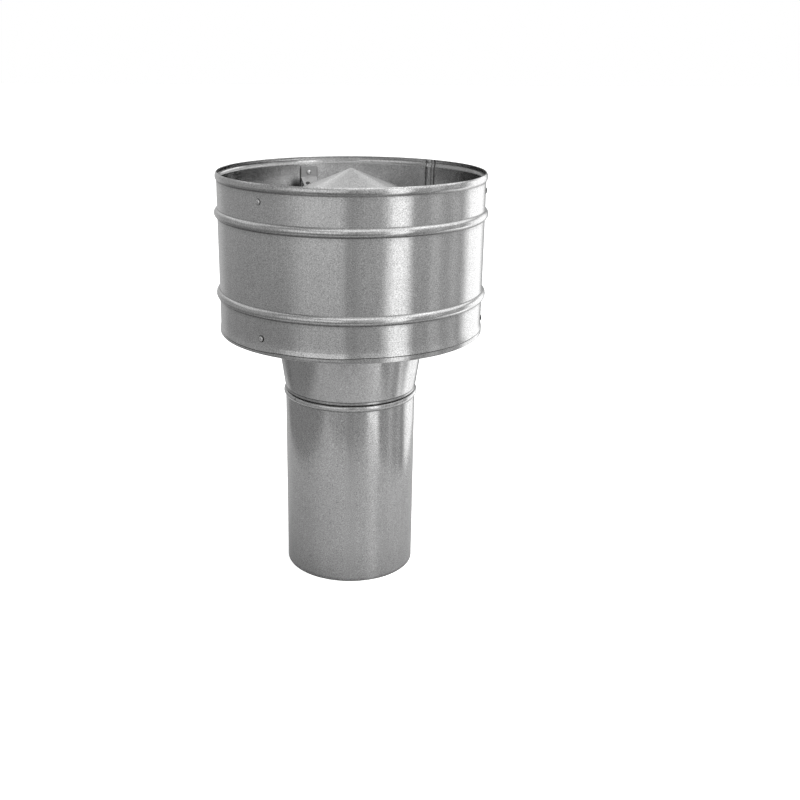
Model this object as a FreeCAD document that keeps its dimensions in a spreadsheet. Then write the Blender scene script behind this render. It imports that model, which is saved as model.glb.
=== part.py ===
import FreeCAD, Part
import math
import os
import Sketcher

# Round roof ventilator with a deflector drum, all of galvanised sheet steel.
# Millimetres and degrees, Z up, origin on the axis at the foot of the spigot pipe.
# Bearings are turned about Z from +X, so the side that is usually looked at (-Y) has bearing -90.

DIMENSIONS = [
    ("sheet_gauge", 0.6, "thickness of the rolled sheet"),
    ("seam_fold", 1.2, "how far a lock seam stands in from its sheet"),
    ("seam_width", 9.0, "width of a lock seam"),
    ("seam_step", 3.0, "width of the seam's thinner side, where one sheet's edge ends"),
    ("pipe_radius", 62.5, "outer radius of the spigot pipe"),
    ("pipe_height", 180.0, "length of the spigot pipe"),
    ("pipe_bead_height", 6.2, "height of the bead at the pipe's top edge"),
    ("pipe_bead_rise", 1.8, "how far the pipe's bead stands out"),
    ("pipe_seam_bearing", 90.0, "bearing of the pipe's lock seam"),
    ("collar_insert", 30.0, "depth of the diffuser's collar in the pipe"),
    ("collar_clearance", 0.1, "gap round the collar in the pipe"),
    ("neck_step", 0.3, "how far the neck stands out past the pipe"),
    ("neck_height", 2.6, "height of the neck above the pipe's top edge"),
    ("mouth_radius", 79.6, "outer radius of the diffuser's mouth"),
    ("cone_height", 112.4, "height of the diffuser's cone"),
    ("drum_lift", 56.1, "height of the drum's lower edge above the cone's foot"),
    ("drum_radius", 122.5, "outer radius of the drum's plain wall"),
    ("drum_height", 147.0, "height of the drum"),
    ("rim_height", 7.2, "height of the half-round upper rim"),
    ("rim_rise", 1.3, "how far the upper rim stands out"),
    ("hem_height", 4.4, "height of the hem, the sheet's lower edge folded up outside"),
    ("swell_top", 9.6, "distance from the drum's lower edge to the top of the swelling"),
    ("swell_height", 4.8, "height of the shallow swelling above the hem"),
    ("swell_rise", 0.4, "how far the swelling stands out"),
    ("bead_height", 8.1, "height of a stiffening bead"),
    ("bead_rise", 3.0, "how far a stiffening bead stands out"),
    ("bead_inset", 36.6, "distance from the drum's edge to a bead's middle"),
    ("drum_seam_bearing", 49.8, "bearing of the drum's lock seam"),
    ("cap_radius", 103.0, "outer radius of the rain cap"),
    ("cap_fall_angle", 21.8, "slope of the rain cap"),
    ("cap_peak", 2.1, "height of the cap's point above the drum"),
    ("cap_lip", 5.0, "height of the cap's turned-down lip"),
    ("cap_bend", 1.0, "inner radius of the bend above the cap's lip"),
    ("cap_seam_height", 1.0, "how far the cap's radial seam stands up"),
    ("cap_seam_start", 12.0, "distance from the axis to the cap's seam"),
    ("cap_seam_setback", 5.0, "distance from the cap's edge to the seam's end"),
    ("strip_gauge", 1.2, "thickness of the bracket strip"),
    ("strip_width", 16.8, "width of the bracket strip"),
    ("strip_bend", 1.2, "inner radius of each bend in the bracket strip"),
    ("strip_bearing", -129.0, "bearing of the first pair of brackets"),
    ("upper_tab_inset", 9.4, "distance from the drum's upper edge to the strip"),
    ("upper_tab_length", 11.6, "length of the upper strip's tab"),
    ("cap_foot_setback", 2.0, "distance from the cap's edge to the strip's foot"),
    ("cap_foot_length", 17.0, "level length of the strip's foot on the cap"),
    ("leg_hole_radius", 2.4, "radius of the spare hole in the upper strip's leg"),
    ("leg_hole_inset", 6.8, "level distance from the drum's wall to the spare hole"),
    ("leg_hole_offset", 3.2, "distance from the strip's middle to the spare hole"),
    ("lower_tab_inset", 7.9, "distance from the drum's lower edge to the strip"),
    ("lower_tab_length", 13.0, "length of the lower strip's tab"),
    ("cone_foot_length", 14.0, "height of the strip's foot on the diffuser"),
    ("rivet_margin", 6.1, "distance from a rivet to the end of its strip"),
    ("rivet_shank_radius", 1.6, "radius of a rivet's shank"),
    ("rivet_clearance", 0.05, "gap round a rivet in its hole"),
    ("rivet_head_radius", 2.9, "radius of a rivet's head"),
    ("rivet_head_rise", 1.3, "height of a rivet's domed head"),
    ("rivet_recess_radius", 0.95, "radius of the recess that the rivet's stem leaves in its head"),
    ("rivet_recess_depth", 0.4, "depth of the recess in a rivet's head"),
    ("rivet_tail_radius", 2.5, "radius of a rivet's closed end"),
    ("rivet_tail_rise", 1.4, "height of a rivet's closed end"),
    ("rivet_seat_gap", 0.05, "gap under a closed end on a hollow curve"),
    ("drill_reach", 8.0, "length of the drill stroke through a sheet"),
]

STRIP_COUNT = 3
FULL_TURN = 360.0
SHEET_NAME = "dimensions"


class Size:
    """A size that is worked out from the sheet, as a formula and as its present number."""

    def __init__(self, formula, number):
        self.formula = formula
        self.number = number

    def joined(self, sign, other, number):
        return Size(f"({self.formula} {sign} {sized(other).formula})", number)

    def __add__(self, other):
        return self.joined("+", other, self.number + sized(other).number)

    def __sub__(self, other):
        return self.joined("-", other, self.number - sized(other).number)

    def __mul__(self, other):
        return self.joined("*", other, self.number * sized(other).number)

    def __truediv__(self, other):
        return self.joined("/", other, self.number / sized(other).number)

    def __neg__(self):
        return Size(f"(-1 * {self.formula})", -self.number)


def sized(value):
    return value if isinstance(value, Size) else Size(repr(value), value)


def root(value):
    return Size(f"sqrt({value.formula})", math.sqrt(value.number))


def sine(angle):
    return Size(f"sin({angle.formula})", math.sin(math.radians(angle.number)))


def cosine(angle):
    return Size(f"cos({angle.formula})", math.cos(math.radians(angle.number)))


def tangent(angle):
    return Size(f"tan({angle.formula})", math.tan(math.radians(angle.number)))


def slope_angle(ratio):
    """The angle, in degrees, whose tangent is ratio."""
    return Size(f"(atan({ratio.formula}) / 1 deg)", math.degrees(math.atan(ratio.number)))


def arc_angle(width, radius):
    """The angle, in degrees, that a width takes up round a circle."""
    return width / radius * 180.0 / sized(math.pi)


doc = FreeCAD.newDocument("roof_ventilator")
sheet = doc.addObject("Spreadsheet::Sheet", SHEET_NAME)
size = {}
for row, (alias, number, meaning) in enumerate(DIMENSIONS, start=1):
    sheet.set(f"A{row}", alias)
    sheet.set(f"B{row}", str(number))
    sheet.setAlias(f"B{row}", alias)
    sheet.set(f"C{row}", meaning)
    size[alias] = Size(f"{SHEET_NAME}.{alias}", number)
doc.recompute()


# Helpers for bodies and sketches


def origin_part(body, role):
    return next(f for f in body.Origin.OriginFeatures if f.Role == role)


def new_body(name, bearing=None):
    """A sub-part, turned about the axis to its bearing."""
    body = doc.addObject("PartDesign::Body", name)
    body.Label = name
    if bearing is not None:
        turn = FreeCAD.Rotation(FreeCAD.Vector(0, 0, 1), bearing.number)
        body.Placement = FreeCAD.Placement(FreeCAD.Vector(0, 0, 0), turn)
        body.setExpression("Placement.Rotation.Angle", bearing.formula)
    return body


def new_sketch(body, name, role):
    sketch = body.newObject("Sketcher::SketchObject", name)
    sketch.AttachmentSupport = [(origin_part(body, role), "")]
    sketch.MapMode = "FlatFace"
    return sketch


def turn_sketch(sketch, axis, angle):
    turn = FreeCAD.Rotation(FreeCAD.Vector(*axis), angle.number)
    sketch.AttachmentOffset = FreeCAD.Placement(FreeCAD.Vector(0, 0, 0), turn)
    sketch.setExpression("AttachmentOffset.Rotation.Angle", angle.formula)


def move_sketch(sketch, offsets):
    """Shifts a turned sketch's origin; offsets maps an axis letter to its size."""
    for letter, offset in offsets.items():
        sketch.setExpression(f"AttachmentOffset.Base.{letter}", offset.formula)


def bind(sketch, constraint, value):
    index = sketch.addConstraint(constraint)
    sketch.setExpression(f"Constraints[{index}]", value.formula)


def end_of(sketch, geometry, point):
    """Which end of a line or an arc lies at a point: 1 is its start and 2 its end."""
    start = sketch.getPoint(geometry, 1)
    finish = sketch.getPoint(geometry, 2)
    return 1 if (start - point).Length < (finish - point).Length else 2


def pin_point(sketch, geometry, end, x, y):
    """Fixes a point at its sizes, or on the sketch's vertical axis where x is 0."""
    if x.number == 0:
        sketch.addConstraint(Sketcher.Constraint("PointOnObject", geometry, end, -2))
    else:
        bind(sketch, Sketcher.Constraint("DistanceX", -1, 1, geometry, end, x.number), x)
    bind(sketch, Sketcher.Constraint("DistanceY", -1, 1, geometry, end, y.number), y)


def arc_between(start, finish, centre):
    """The shorter arc from start to finish about a centre."""
    first, last = start - centre, finish - centre
    middle = first + last
    middle.normalize()
    return Part.Arc(start, centre + middle * first.Length, finish)


def pin_centre(sketch, geometry, chord, x, y):
    """Fixes an arc's centre once its ends are fixed, by the size that its chord leaves open."""
    if x.number == 0:
        sketch.addConstraint(Sketcher.Constraint("PointOnObject", geometry, 3, -2))
    elif abs(chord.x) > abs(chord.y):
        bind(sketch, Sketcher.Constraint("DistanceY", -1, 1, geometry, 3, y.number), y)
    else:
        bind(sketch, Sketcher.Constraint("DistanceX", -1, 1, geometry, 3, x.number), x)


def turn_side(way_in, way_out):
    """1 where an outline turns to the left between two directions, or -1 to the right."""
    (in_x, in_y), (out_x, out_y) = way_in, way_out
    return 1 if (in_x * out_y - in_y * out_x).number > 0 else -1


def bend_corner(corner, way_in, way_out, bend):
    """Rounds an outline's corner: the arc's start, its end and its centre.

    The ways are unit directions into and out of the corner, and the arc starts and ends at
    bend * tan(half the turn) from it.
    """
    (x, y), (in_x, in_y), (out_x, out_y) = corner, way_in, way_out
    side = turn_side(way_in, way_out)
    turn_sine = (in_x * out_y - in_y * out_x) * side
    run = bend * turn_sine / (in_x * out_x + in_y * out_y + 1)
    start = (x - run * in_x, y - run * in_y)
    finish = (x + run * out_x, y + run * out_y)
    centre = (start[0] - bend * in_y * side, start[1] + bend * in_x * side)
    return start, finish, centre


def draw_loop(sketch, points, centres):
    """A closed outline through points; an edge with a centre is an arc about it."""
    places = [FreeCAD.Vector(x.number, y.number, 0) for x, y in points]
    edges = []
    for i, place in enumerate(places):
        after = places[(i + 1) % len(places)]
        if centres[i] is None:
            edges.append(Part.LineSegment(place, after))
        else:
            x, y = centres[i]
            edges.append(arc_between(place, after, FreeCAD.Vector(x.number, y.number, 0)))
    first = sketch.addGeometry(edges)[0]
    for i, place in enumerate(places):
        geometry, before = first + i, first + (i - 1) % len(places)
        own_end = end_of(sketch, geometry, place)
        other_end = end_of(sketch, before, place)
        sketch.addConstraint(Sketcher.Constraint("Coincident", before, other_end, geometry, own_end))
    for i, place in enumerate(places):
        pin_point(sketch, first + i, end_of(sketch, first + i, place), *points[i])
        if centres[i] is not None:
            chord = places[(i + 1) % len(places)] - place
            pin_centre(sketch, first + i, chord, *centres[i])


def draw_corners(sketch, points):
    draw_loop(sketch, points, [None] * len(points))


def revolve(body, sketch, name, angle=None):
    """Turns a sketch about its vertical axis, all the way or evenly to both sides."""
    turned = body.newObject("PartDesign::Revolution", name)
    turned.Profile = sketch
    turned.ReferenceAxis = (sketch, ["V_Axis"])
    if angle is None:
        turned.Angle = FULL_TURN
    else:
        turned.Midplane = True
        turned.setExpression("Angle", angle.formula)
    return turned


def repeat_round_axis(body, feature, name):
    pattern = body.newObject("PartDesign::PolarPattern", name)
    pattern.Originals = [feature]
    pattern.Axis = (origin_part(body, "Z_Axis"), [""])
    pattern.Angle = FULL_TURN
    pattern.Occurrences = STRIP_COUNT
    body.Tip = pattern
    return pattern


# Beaded sheet walls


def bead_circle(radius, bead):
    """Centre and radius of the arc that a bead makes on the outer face of a wall."""
    low, high, rise = bead[:3]
    half = (high - low) / 2
    bend = (half * half + rise * rise) / (rise * 2)
    return radius + rise - bend, (low + high) / 2, bend, half


def beaded_path(radius, bottom, top, beads, depth):
    """The wall's line at a depth in from its outer face, going up: points and arc centres."""
    points, centres = [(radius - depth, bottom)], [None]
    for bead in beads:
        rise, kind = bead[2], bead[3]
        centre_x, centre_y, bend, half = bead_circle(radius, bead)
        reach = root(rise * ((bend - depth) * 2 - rise))
        start = (radius - depth, centre_y - reach)
        finish = (radius - depth, centre_y + reach)
        if kind == "top_edge":
            share = (bend - depth) / bend
            finish = (centre_x + share * (bend - rise), centre_y + share * half)
        points += [start, finish]
        centres += [(centre_x, centre_y), None]
    if not beads or beads[-1][3] != "top_edge":
        points.append((radius - depth, top))
        centres.append(None)
    return points, centres


def draw_wall(sketch, radius, bottom, top, beads, outer_depth, inner_depth):
    """The section of a beaded wall between two depths in from its outer face."""
    points, centres = beaded_path(radius, bottom, top, beads, outer_depth)
    inner_points, inner_centres = beaded_path(radius, bottom, top, beads, inner_depth)
    # The inner line runs back down, so each arc belongs to the point above it.
    back_centres = inner_centres[-2::-1] + [None]
    draw_loop(sketch, points + inner_points[::-1], centres + back_centres)


def draw_hemmed_wall(sketch, radius, bottom, top, beads):
    """The section of a beaded wall whose lower edge is folded up against its outer face."""
    gauge, hem_top = size["sheet_gauge"], bottom + size["hem_height"]
    points, centres = beaded_path(radius, hem_top, top, beads, sized(0.0))
    fold_height = bottom + gauge
    inner_points, inner_centres = beaded_path(radius, fold_height, top, beads, gauge)
    fold_centre = (radius, fold_height)
    hem = [(radius, bottom), (radius + gauge, fold_height), (radius + gauge, hem_top)]
    back_centres = inner_centres[-2::-1] + [fold_centre]
    draw_loop(
        sketch,
        hem + points + inner_points[::-1],
        [fold_centre, None, None] + centres + back_centres,
    )


def add_seam_layer(body, name, bearing, width, radius, bottom, top, beads, fold):
    """One layer of a lock seam: a flat band inside the wall that follows its beads."""
    sketch = new_sketch(body, f"{name}_section", "XZ_Plane")
    turn_sketch(sketch, (0, 1, 0), bearing)
    gauge = size["sheet_gauge"]
    draw_wall(sketch, radius, bottom, top, beads, gauge / 2, gauge + fold)
    return revolve(body, sketch, name, arc_angle(width, radius))


def add_wall_seam(body, name, bearing, radius, bottom, top, beads):
    """A lock seam: the sheets' hooked edges, thinner on the side where one of them ends."""
    width, step, fold = size["seam_width"], size["seam_step"], size["seam_fold"]
    add_seam_layer(body, f"{name}_base", bearing, width, radius, bottom, top, beads, fold / 2)
    hook_bearing = bearing + arc_angle(step / 2, radius)
    add_seam_layer(
        body, f"{name}_hook", hook_bearing, width - step, radius, bottom, top, beads, fold
    )


# Heights and lines that more than one piece shares

gauge = size["sheet_gauge"]
cone_foot_height = size["pipe_height"] + size["neck_height"]
cone_top_height = cone_foot_height + size["cone_height"]
neck_radius = size["pipe_radius"] + size["neck_step"]
cone_slope = (size["mouth_radius"] - neck_radius) / size["cone_height"]
cone_lean = slope_angle(cone_slope)
drum_bottom = cone_foot_height + size["drum_lift"]
drum_top = drum_bottom + size["drum_height"]
drum_inner_radius = size["drum_radius"] - gauge
cap_peak_height = drum_top + size["cap_peak"]
cap_slope = tangent(size["cap_fall_angle"])


def cone_radius_at(height):
    """Outer radius of the diffuser's cone."""
    return neck_radius + cone_slope * (height - cone_foot_height)


def cap_height_at(radius):
    """Height of the rain cap's upper face."""
    return cap_peak_height - cap_slope * radius


# Rivets: each kind has a seat on a sheet's outer face, a lean from upright and a grip

upper_tab_top = drum_top - size["upper_tab_inset"]
lower_tab_bottom = drum_bottom + size["lower_tab_inset"]
lower_bend_height = lower_tab_bottom + size["lower_tab_length"]
cap_foot_outer = size["cap_radius"] - size["cap_foot_setback"]
cap_foot_inner = cap_foot_outer - size["cap_foot_length"]
cone_foot_top = lower_bend_height + size["cone_foot_length"]
cap_rivet_radius = cap_foot_inner + size["rivet_margin"]
cone_rivet_height = cone_foot_top - size["rivet_margin"]
joint_gauge = gauge + size["strip_gauge"]
on_the_wall = sized(0.0)

RIVET_SEATS = {
    "drum_upper": {
        "radius": size["drum_radius"],
        "height": upper_tab_top - size["rivet_margin"],
        "lean": sized(90.0),
        "head_level": on_the_wall,
        "tail_level": -joint_gauge,
    },
    "drum_lower": {
        "radius": size["drum_radius"],
        "height": lower_tab_bottom + size["rivet_margin"],
        "lean": sized(90.0),
        "head_level": on_the_wall,
        "tail_level": -joint_gauge,
    },
    "cap": {
        "radius": cap_rivet_radius,
        "height": cap_height_at(cap_rivet_radius),
        "lean": size["cap_fall_angle"],
        "head_level": size["strip_gauge"],
        "tail_level": -gauge,
    },
    "diffuser": {
        "radius": cone_radius_at(cone_rivet_height),
        "height": cone_rivet_height,
        "lean": cone_lean + 90.0,
        "head_level": size["strip_gauge"],
        "tail_level": -gauge,
    },
}


rivet_hole_radius = size["rivet_shank_radius"] + size["rivet_clearance"]


def drill(body, seat, name, hole_radius=rivet_hole_radius, sideways=on_the_wall):
    """A round hole through a sheet at a seat, square to the sheet."""
    sketch = new_sketch(body, f"{name}_circle", "XY_Plane")
    turn_sketch(sketch, (0, 1, 0), seat["lean"])
    move_sketch(sketch, {"x": seat["radius"], "y": sideways, "z": seat["height"]})
    circle = Part.Circle(FreeCAD.Vector(0, 0, 0), FreeCAD.Vector(0, 0, 1), hole_radius.number)
    index = sketch.addGeometry(circle)
    sketch.addConstraint(Sketcher.Constraint("Coincident", index, 3, -1, 1))
    bind(sketch, Sketcher.Constraint("Radius", index, hole_radius.number), hole_radius)
    hole = body.newObject("PartDesign::Pocket", name)
    hole.Profile = sketch
    hole.Midplane = True
    hole.setExpression("Length", size["drill_reach"].formula)
    body.Tip = hole
    return hole


def drill_all(body, seat, name):
    repeat_round_axis(body, drill(body, seat, name), f"{name}_round")


# Spigot pipe


def pipe_beads():
    low = size["pipe_height"] - size["pipe_bead_height"]
    return [(low, size["pipe_height"], size["pipe_bead_rise"], "top_edge")]


def build_pipe():
    """Rolled pipe with a raw foot, a half-round bead at its top edge and a lock seam inside."""
    body = new_body("spigot_pipe")
    foot = sized(0.0)
    wall = new_sketch(body, "pipe_section", "XZ_Plane")
    draw_wall(wall, size["pipe_radius"], foot, size["pipe_height"], pipe_beads(), foot, gauge)
    revolve(body, wall, "pipe_wall")
    # The seam's folds are pressed flat where the diffuser's collar goes in.
    seam_top = size["pipe_height"] - size["collar_insert"] - size["seam_width"] / 2
    add_wall_seam(
        body, "pipe_seam", size["pipe_seam_bearing"], size["pipe_radius"], foot, seam_top, []
    )
    return body


# Diffuser


def build_diffuser():
    """Cone that opens upwards, with a collar in the pipe and a neck that stands on its edge."""
    body = new_body("diffuser_cone", size["strip_bearing"])
    collar_radius = size["pipe_radius"] - gauge - size["collar_clearance"]
    collar_bottom = size["pipe_height"] - size["collar_insert"]
    ledge = size["pipe_height"]
    outer = [
        (collar_radius, collar_bottom),
        (collar_radius, ledge),
        (neck_radius, ledge),
        (neck_radius, cone_foot_height),
        (size["mouth_radius"], cone_top_height),
    ]
    inner = [
        (size["mouth_radius"] - gauge, cone_top_height),
        (neck_radius - gauge, cone_foot_height),
        (neck_radius - gauge, ledge + gauge),
        (collar_radius - gauge, ledge + gauge),
        (collar_radius - gauge, collar_bottom),
    ]
    wall = new_sketch(body, "diffuser_section", "XZ_Plane")
    draw_corners(wall, outer + inner)
    revolve(body, wall, "diffuser_wall")

    seam_depth = gauge + size["seam_fold"]
    seam = new_sketch(body, "diffuser_seam_section", "XZ_Plane")
    turn_sketch(seam, (0, 1, 0), size["pipe_seam_bearing"] - size["strip_bearing"])
    seam_foot = cone_foot_height + size["seam_fold"]
    draw_corners(
        seam,
        [
            (cone_radius_at(seam_foot) - gauge / 2, seam_foot),
            (size["mouth_radius"] - gauge / 2, cone_top_height),
            (size["mouth_radius"] - seam_depth, cone_top_height),
            (cone_radius_at(seam_foot) - seam_depth, seam_foot),
        ],
    )
    revolve(body, seam, "diffuser_seam", arc_angle(size["seam_width"], size["mouth_radius"]))
    drill_all(body, RIVET_SEATS["diffuser"], "diffuser_hole")
    return body


# Drum


def drum_beads():
    half_bead = size["bead_height"] / 2
    lower = drum_bottom + size["bead_inset"]
    upper = drum_top - size["bead_inset"]
    bead_rise = size["bead_rise"]
    swell_top = drum_bottom + size["swell_top"]
    return [
        (swell_top - size["swell_height"], swell_top, size["swell_rise"], "middle"),
        (lower - half_bead, lower + half_bead, bead_rise, "middle"),
        (upper - half_bead, upper + half_bead, bead_rise, "middle"),
        (drum_top - size["rim_height"], drum_top, size["rim_rise"], "top_edge"),
    ]


def build_drum():
    """Open drum, rolled with two stiffening beads, a half-round upper rim and a hemmed foot."""
    body = new_body("drum_shell", size["strip_bearing"])
    beads, radius = drum_beads(), size["drum_radius"]
    wall = new_sketch(body, "drum_section", "XZ_Plane")
    draw_hemmed_wall(wall, radius, drum_bottom, drum_top, beads)
    revolve(body, wall, "drum_wall")
    bearing = size["drum_seam_bearing"] - size["strip_bearing"]
    add_wall_seam(body, "drum_seam", bearing, radius, drum_bottom + gauge, drum_top, beads)
    drill_all(body, RIVET_SEATS["drum_upper"], "drum_upper_hole")
    drill_all(body, RIVET_SEATS["drum_lower"], "drum_lower_hole")
    return body


# Rain cap


def build_cap():
    """Low cone with a turned-down lip and the radial seam that closes it."""
    body = new_body("rain_cap", size["strip_bearing"])
    on_axis = sized(0)
    drop = gauge / cosine(size["cap_fall_angle"])
    edge, inner_edge = size["cap_radius"], size["cap_radius"] - gauge
    edge_height = cap_height_at(edge)
    lip_foot = edge_height - size["cap_lip"]
    down_slope = (cosine(size["cap_fall_angle"]), -sine(size["cap_fall_angle"]))
    down = (sized(0.0), sized(-1.0))
    outer_start, outer_end, centre = bend_corner(
        (edge, edge_height), down_slope, down, size["cap_bend"] + gauge
    )
    inner_corner = (inner_edge, cap_height_at(inner_edge) - drop)
    inner_start, inner_end, _ = bend_corner(inner_corner, down_slope, down, size["cap_bend"])
    wall = new_sketch(body, "cap_section", "XZ_Plane")
    draw_loop(
        wall,
        [
            (on_axis, cap_peak_height),
            outer_start,
            outer_end,
            (edge, lip_foot),
            (inner_edge, lip_foot),
            inner_end,
            inner_start,
            (on_axis, cap_peak_height - drop),
        ],
        [None, centre, None, None, None, centre, None, None],
    )
    revolve(body, wall, "cap_wall")

    start, finish = size["cap_seam_start"], edge - size["cap_seam_setback"]
    bottom, top = -drop / 2, size["cap_seam_height"]
    seam = new_sketch(body, "cap_seam_section", "XZ_Plane")
    turn_sketch(seam, (0, 1, 0), size["pipe_seam_bearing"] - size["strip_bearing"])
    draw_corners(
        seam,
        [
            (start, cap_height_at(start) + bottom),
            (finish, cap_height_at(finish) + bottom),
            (finish, cap_height_at(finish) + top),
            (start, cap_height_at(start) + top),
        ],
    )
    strip = body.newObject("PartDesign::Pad", "cap_seam")
    strip.Profile = seam
    strip.Midplane = True
    strip.setExpression("Length", size["seam_width"].formula)
    drill_all(body, RIVET_SEATS["cap"], "cap_hole")
    return body


# Brackets


def strip_angle():
    return arc_angle(size["strip_width"], drum_inner_radius)


def strip_bearing(index):
    return size["strip_bearing"] + FULL_TURN * index / STRIP_COUNT


def draw_strip(sketch, left, right, ways):
    """The section of a strip with two bends, from the ends and sharp corners of its two faces.

    Left and right are the faces as seen along the ways, the unit directions of the three runs.
    A bend has the strip's bend radius on its inside and a gauge more on its outside.
    """
    inside, outside = size["strip_bend"], size["strip_bend"] + size["strip_gauge"]
    left_arcs, right_arcs = [], []
    for i in (1, 2):
        way_in, way_out = ways[i - 1], ways[i]
        bends = (inside, outside) if turn_side(way_in, way_out) == 1 else (outside, inside)
        left_arcs.append(bend_corner(left[i], way_in, way_out, bends[0]))
        right_arcs.append(bend_corner(right[i], way_in, way_out, bends[1]))
    points, centres = [left[0]], [None]
    for start, finish, centre in left_arcs:
        points += [start, finish]
        centres += [centre, None]
    points += [left[3], right[3]]
    centres += [None, None]
    for start, finish, centre in reversed(right_arcs):
        points += [finish, start]
        centres += [centre, None]
    points.append(right[0])
    centres.append(None)
    draw_loop(sketch, points, centres)


def build_upper_bracket(index):
    """Strip from the drum's wall to the cap: a tab, a sloping leg and a foot on the cap."""
    name = f"upper_bracket_{index + 1}"
    body = new_body(name, strip_bearing(index))
    strip_gauge = size["strip_gauge"]
    wall_x, leg_top = drum_inner_radius, upper_tab_top - size["upper_tab_length"]
    foot_x, foot_y = cap_foot_outer, cap_height_at(cap_foot_outer)
    leg_run, leg_drop = wall_x - foot_x, leg_top - foot_y
    leg = root(leg_run * leg_run + leg_drop * leg_drop)
    leg_sine, leg_cosine = leg_drop / leg, leg_run / leg
    fall_sine, fall_cosine = sine(size["cap_fall_angle"]), cosine(size["cap_fall_angle"])
    # Each inner corner lies where two faces meet, both moved out by the strip's gauge.
    miter = strip_gauge / (leg_cosine * fall_cosine - leg_sine * fall_sine + 1)
    wall_side = [
        (wall_x, upper_tab_top),
        (wall_x, leg_top),
        (foot_x, foot_y),
        (cap_foot_inner, cap_height_at(cap_foot_inner)),
    ]
    axis_side = [
        (wall_x - strip_gauge, upper_tab_top),
        (wall_x - strip_gauge, leg_top + strip_gauge * (sized(1) - leg_sine) / leg_cosine),
        (
            foot_x + miter * (fall_sine - leg_sine),
            foot_y + miter * (fall_cosine + leg_cosine),
        ),
        (
            cap_foot_inner + strip_gauge * fall_sine,
            cap_height_at(cap_foot_inner) + strip_gauge * fall_cosine,
        ),
    ]
    down, along_leg = (sized(0.0), sized(-1.0)), (-leg_cosine, -leg_sine)
    up_the_cap = (-fall_cosine, fall_sine)
    section = new_sketch(body, f"{name}_section", "XZ_Plane")
    draw_strip(section, wall_side, axis_side, [down, along_leg, up_the_cap])
    revolve(body, section, f"{name}_strip", strip_angle())
    drill(body, RIVET_SEATS["drum_upper"], f"{name}_tab_hole")
    drill(body, RIVET_SEATS["cap"], f"{name}_foot_hole")
    inset, leg_slope = size["leg_hole_inset"], leg_drop / leg_run
    spare_seat = {
        "radius": wall_x - inset,
        "height": leg_top - inset * leg_slope,
        "lean": -slope_angle(leg_slope),
    }
    drill(body, spare_seat, f"{name}_leg_hole", size["leg_hole_radius"], size["leg_hole_offset"])
    return body


def build_lower_bracket(index):
    """Strip from the drum's wall to the diffuser: a tab, a level leg and a foot on the cone."""
    name = f"lower_bracket_{index + 1}"
    body = new_body(name, strip_bearing(index))
    strip_gauge = size["strip_gauge"]
    wall_x, leg_top = drum_inner_radius, lower_bend_height
    leg_bottom = leg_top - strip_gauge
    lean_sine, lean_cosine = sine(cone_lean), cosine(cone_lean)
    wall_side = [
        (wall_x, lower_tab_bottom),
        (wall_x, leg_top),
        (cone_radius_at(leg_top) + strip_gauge / lean_cosine, leg_top),
        (
            cone_radius_at(cone_foot_top) + strip_gauge * lean_cosine,
            cone_foot_top - strip_gauge * lean_sine,
        ),
    ]
    axis_side = [
        (wall_x - strip_gauge, lower_tab_bottom),
        (wall_x - strip_gauge, leg_bottom),
        (cone_radius_at(leg_bottom), leg_bottom),
        (cone_radius_at(cone_foot_top), cone_foot_top),
    ]
    up, inwards = (sized(0.0), sized(1.0)), (sized(-1.0), sized(0.0))
    up_the_cone = (lean_sine, lean_cosine)
    section = new_sketch(body, f"{name}_section", "XZ_Plane")
    draw_strip(section, axis_side, wall_side, [up, inwards, up_the_cone])
    revolve(body, section, f"{name}_strip", strip_angle())
    drill(body, RIVET_SEATS["drum_lower"], f"{name}_tab_hole")
    drill(body, RIVET_SEATS["diffuser"], f"{name}_foot_hole")
    return body


# Rivets


def dome_bend(radius, rise):
    """Radius of the arc that rises by rise over a circle of this radius."""
    return (radius * radius + rise * rise) / (rise * 2)


def dome_centre(level, radius, rise, way):
    """Centre of the arc that domes a head away from its level; way is 1 up or -1 down."""
    return sized(0), level + (rise - dome_bend(radius, rise)) * way


def build_rivets(kind):
    """One rivet for each strip: a domed head with a recess, a shank and a domed closed end."""
    name = f"{kind}_rivets"
    seat = RIVET_SEATS[kind]
    body = new_body(name, size["strip_bearing"])
    on_axis = sized(0)
    head, tail = seat["head_level"], seat["tail_level"] - size["rivet_seat_gap"]
    head_radius, head_rise = size["rivet_head_radius"], size["rivet_head_rise"]
    tail_radius, tail_rise = size["rivet_tail_radius"], size["rivet_tail_rise"]
    shank, recess = size["rivet_shank_radius"], size["rivet_recess_radius"]
    head_centre = dome_centre(head, head_radius, head_rise, 1)
    head_bend = dome_bend(head_radius, head_rise)
    recess_edge = head_centre[1] + root(head_bend * head_bend - recess * recess)
    recess_floor = recess_edge - size["rivet_recess_depth"]
    section = new_sketch(body, f"{name}_section", "XZ_Plane")
    turn_sketch(section, (0, 0, 1), -seat["lean"])
    move_sketch(section, {"x": seat["radius"], "y": seat["height"]})
    points = [
        (on_axis, tail - tail_rise),
        (tail_radius, tail),
        (shank, tail),
        (shank, head),
        (head_radius, head),
        (recess, recess_edge),
        (recess, recess_floor),
        (on_axis, recess_floor),
    ]
    tail_centre = dome_centre(tail, tail_radius, tail_rise, -1)
    centres = [tail_centre, None, None, None, head_centre, None, None, None]
    draw_loop(section, points, centres)
    rivet = revolve(body, section, f"{name}_one")
    repeat_round_axis(body, rivet, f"{name}_round")
    return body


def build_all():
    bodies = [build_pipe(), build_diffuser(), build_drum(), build_cap()]
    for index in range(STRIP_COUNT):
        bodies.append(build_upper_bracket(index))
        bodies.append(build_lower_bracket(index))
    bodies += [build_rivets(kind) for kind in RIVET_SEATS]
    return bodies


def check_objects():
    for thing in doc.Objects:
        if "Invalid" in thing.State or "Error" in thing.State:
            raise RuntimeError(f"{thing.Name} failed: {thing.State}")


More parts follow.
